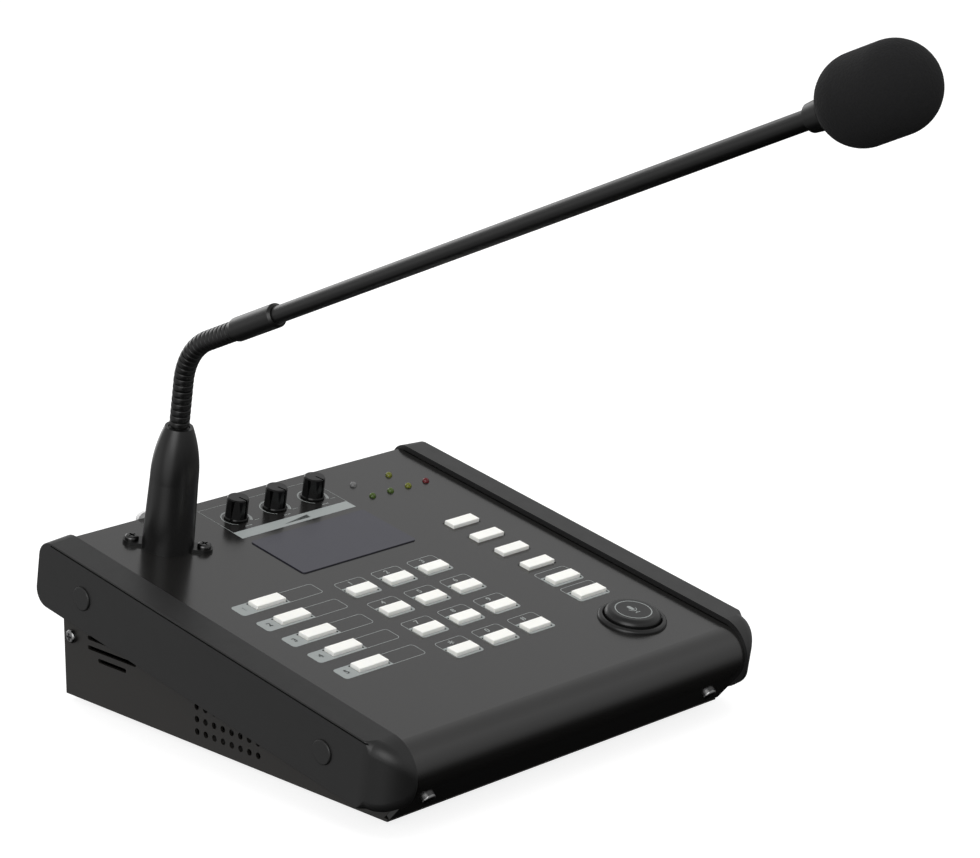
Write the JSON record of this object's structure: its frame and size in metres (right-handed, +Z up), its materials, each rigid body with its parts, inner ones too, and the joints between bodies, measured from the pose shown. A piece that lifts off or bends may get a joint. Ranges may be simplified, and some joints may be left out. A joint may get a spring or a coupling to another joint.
{
  "type": "network desk microphone",
  "caption": "Sloping desk console with keys, display, volume knobs and a round talk button, and a foam-tipped microphone arm on a flexible neck.",
  "frame": {"origin": "under the middle of the whole object's box, microphone arm included, at the level of the desk", "axes": "+X to the right seen from the front, +Y to the rear, +Z up; the arm reaches forward, along -Y"},
  "size_m": [0.2092, 0.4114, 0.3151],
  "materials": {
    "case_paint": "satin",
    "tray_paint": "matte",
    "cover_plastic": "matte",
    "black_plastic": "satin",
    "key_plastic": "satin",
    "window": "gloss",
    "lamp_plastic": "gloss",
    "pale_plastic": "satin",
    "screw_steel": "satin",
    "neck_metal": "satin",
    "capsule_metal": "satin",
    "foam": "matte",
    "rubber": "matte",
    "board_green": "satin",
    "module_grey": "satin",
    "socket_metal": "satin"
  },
  "bodies": {
    "base": {"chassis_tray": "tray_paint", "top_panel": "case_paint", "left_side_cover": "cover_plastic", "right_side_cover": "cover_plastic", "cover_plugs": "cover_plastic", "case_screws": "screw_steel", "rubber_feet": "rubber", "display_window": "window", "display_module": "module_grey", "indicator_lamps": "lamp_plastic", "volume_pots": "module_grey", "key_switches": "black_plastic", "keypad_board": "board_green", "main_board": "board_green", "board_standoffs": "socket_metal", "network_jack": "black_plastic", "monitor_speaker": "black_plastic", "talk_bezel": "black_plastic", "talk_switch": "black_plastic", "neck_socket": "socket_metal", "neck_boss": "black_plastic", "boss_screws": "screw_steel", "rear_lamp_dome": "pale_plastic", "neck_flex_lower": "neck_metal"},
    "pad_key_1": {"pad_key_1": "key_plastic"},
    "pad_key_2": {"pad_key_2": "key_plastic"},
    "pad_key_3": {"pad_key_3": "key_plastic"},
    "pad_key_4": {"pad_key_4": "key_plastic"},
    "pad_key_5": {"pad_key_5": "key_plastic"},
    "pad_key_6": {"pad_key_6": "key_plastic"},
    "pad_key_7": {"pad_key_7": "key_plastic"},
    "pad_key_8": {"pad_key_8": "key_plastic"},
    "pad_key_9": {"pad_key_9": "key_plastic"},
    "pad_key_star": {"pad_key_star": "key_plastic"},
    "pad_key_0": {"pad_key_0": "key_plastic"},
    "pad_key_pound": {"pad_key_pound": "key_plastic"},
    "left_key_1": {"left_key_1": "key_plastic"},
    "left_key_2": {"left_key_2": "key_plastic"},
    "left_key_3": {"left_key_3": "key_plastic"},
    "left_key_4": {"left_key_4": "key_plastic"},
    "left_key_5": {"left_key_5": "key_plastic"},
    "right_key_1": {"right_key_1": "key_plastic"},
    "right_key_2": {"right_key_2": "key_plastic"},
    "right_key_3": {"right_key_3": "key_plastic"},
    "right_key_4": {"right_key_4": "key_plastic"},
    "right_key_5": {"right_key_5": "key_plastic"},
    "right_key_6": {"right_key_6": "key_plastic"},
    "talk_button": {"talk_button": "black_plastic"},
    "volume_knob_1": {"volume_knob_1": "black_plastic"},
    "volume_knob_2": {"volume_knob_2": "black_plastic"},
    "volume_knob_3": {"volume_knob_3": "black_plastic"},
    "neck_lower": {"neck_flex_middle": "neck_metal"},
    "neck_upper": {"neck_flex_upper": "neck_metal"},
    "arm": {"coupling_sleeve": "neck_metal", "arm_tube": "neck_metal", "capsule_collar": "neck_metal", "mic_capsule": "capsule_metal", "windscreen": "foam"}
  },
  "joints": [
    {"name": "pad_key_1_press", "type": "slide", "parent": "base", "child": "pad_key_1", "axis": [0, 0.1766, -0.9843], "range_m": [0, 0.0008], "stiffness_N_per_m": 800},
    {"name": "pad_key_2_press", "type": "slide", "parent": "base", "child": "pad_key_2", "axis": [0, 0.1766, -0.9843], "range_m": [0, 0.0008], "stiffness_N_per_m": 800},
    {"name": "pad_key_3_press", "type": "slide", "parent": "base", "child": "pad_key_3", "axis": [0, 0.1766, -0.9843], "range_m": [0, 0.0008], "stiffness_N_per_m": 800},
    {"name": "pad_key_4_press", "type": "slide", "parent": "base", "child": "pad_key_4", "axis": [0, 0.1766, -0.9843], "range_m": [0, 0.0008], "stiffness_N_per_m": 800},
    {"name": "pad_key_5_press", "type": "slide", "parent": "base", "child": "pad_key_5", "axis": [0, 0.1766, -0.9843], "range_m": [0, 0.0008], "stiffness_N_per_m": 800},
    {"name": "pad_key_6_press", "type": "slide", "parent": "base", "child": "pad_key_6", "axis": [0, 0.1766, -0.9843], "range_m": [0, 0.0008], "stiffness_N_per_m": 800},
    {"name": "pad_key_7_press", "type": "slide", "parent": "base", "child": "pad_key_7", "axis": [0, 0.1766, -0.9843], "range_m": [0, 0.0008], "stiffness_N_per_m": 800},
    {"name": "pad_key_8_press", "type": "slide", "parent": "base", "child": "pad_key_8", "axis": [0, 0.1766, -0.9843], "range_m": [0, 0.0008], "stiffness_N_per_m": 800},
    {"name": "pad_key_9_press", "type": "slide", "parent": "base", "child": "pad_key_9", "axis": [0, 0.1766, -0.9843], "range_m": [0, 0.0008], "stiffness_N_per_m": 800},
    {"name": "pad_key_star_press", "type": "slide", "parent": "base", "child": "pad_key_star", "axis": [0, 0.1766, -0.9843], "range_m": [0, 0.0008], "stiffness_N_per_m": 800},
    {"name": "pad_key_0_press", "type": "slide", "parent": "base", "child": "pad_key_0", "axis": [0, 0.1766, -0.9843], "range_m": [0, 0.0008], "stiffness_N_per_m": 800},
    {"name": "pad_key_pound_press", "type": "slide", "parent": "base", "child": "pad_key_pound", "axis": [0, 0.1766, -0.9843], "range_m": [0, 0.0008], "stiffness_N_per_m": 800},
    {"name": "left_key_1_press", "type": "slide", "parent": "base", "child": "left_key_1", "axis": [0, 0.1766, -0.9843], "range_m": [0, 0.0008], "stiffness_N_per_m": 800},
    {"name": "left_key_2_press", "type": "slide", "parent": "base", "child": "left_key_2", "axis": [0, 0.1766, -0.9843], "range_m": [0, 0.0008], "stiffness_N_per_m": 800},
    {"name": "left_key_3_press", "type": "slide", "parent": "base", "child": "left_key_3", "axis": [0, 0.1766, -0.9843], "range_m": [0, 0.0008], "stiffness_N_per_m": 800},
    {"name": "left_key_4_press", "type": "slide", "parent": "base", "child": "left_key_4", "axis": [0, 0.1766, -0.9843], "range_m": [0, 0.0008], "stiffness_N_per_m": 800},
    {"name": "left_key_5_press", "type": "slide", "parent": "base", "child": "left_key_5", "axis": [0, 0.1766, -0.9843], "range_m": [0, 0.0008], "stiffness_N_per_m": 800},
    {"name": "right_key_1_press", "type": "slide", "parent": "base", "child": "right_key_1", "axis": [0, 0.1766, -0.9843], "range_m": [0, 0.0008], "stiffness_N_per_m": 800},
    {"name": "right_key_2_press", "type": "slide", "parent": "base", "child": "right_key_2", "axis": [0, 0.1766, -0.9843], "range_m": [0, 0.0008], "stiffness_N_per_m": 800},
    {"name": "right_key_3_press", "type": "slide", "parent": "base", "child": "right_key_3", "axis": [0, 0.1766, -0.9843], "range_m": [0, 0.0008], "stiffness_N_per_m": 800},
    {"name": "right_key_4_press", "type": "slide", "parent": "base", "child": "right_key_4", "axis": [0, 0.1766, -0.9843], "range_m": [0, 0.0008], "stiffness_N_per_m": 800},
    {"name": "right_key_5_press", "type": "slide", "parent": "base", "child": "right_key_5", "axis": [0, 0.1766, -0.9843], "range_m": [0, 0.0008], "stiffness_N_per_m": 800},
    {"name": "right_key_6_press", "type": "slide", "parent": "base", "child": "right_key_6", "axis": [0, 0.1766, -0.9843], "range_m": [0, 0.0008], "stiffness_N_per_m": 800},
    {"name": "talk_button_press", "type": "slide", "parent": "base", "child": "talk_button", "axis": [0, 0.1766, -0.9843], "range_m": [0, 0.0016], "stiffness_N_per_m": 1000},
    {"name": "volume_1_turn", "type": "hinge", "parent": "base", "child": "volume_knob_1", "pos_m": [-0.0194, 0.17937, 0.06743], "axis": [0, -0.1766, 0.9843], "range_deg": [-300, 0]},
    {"name": "volume_2_turn", "type": "hinge", "parent": "base", "child": "volume_knob_2", "pos_m": [0.0018, 0.17937, 0.06743], "axis": [0, -0.1766, 0.9843], "range_deg": [-300, 0]},
    {"name": "volume_3_turn", "type": "hinge", "parent": "base", "child": "volume_knob_3", "pos_m": [0.023, 0.17937, 0.06743], "axis": [0, -0.1766, 0.9843], "range_deg": [-300, 0]},
    {"name": "neck_lean", "type": "hinge", "parent": "base", "child": "neck_lower", "pos_m": [-0.061, 0.16245, 0.12637], "axis": [0, 1, 0], "range_deg": [-30, 30], "deforming": ["neck_flex_lower"]},
    {"name": "neck_bend_lower", "type": "hinge", "parent": "neck_lower", "child": "neck_upper", "pos_m": [-0.061, 0.15925, 0.14422], "axis": [1, 0, 0], "range_deg": [-28.35, 15], "deforming": ["neck_flex_middle"]},
    {"name": "neck_bend_upper", "type": "hinge", "parent": "neck_upper", "child": "arm", "pos_m": [-0.061, 0.15105, 0.15449], "axis": [1, 0, 0], "range_deg": [-28.35, 15], "deforming": ["neck_flex_upper"]}
  ],
  "couplings": [
    {"joint": "neck_bend_upper", "follows": "neck_bend_lower", "ratio": 1}
  ]
}
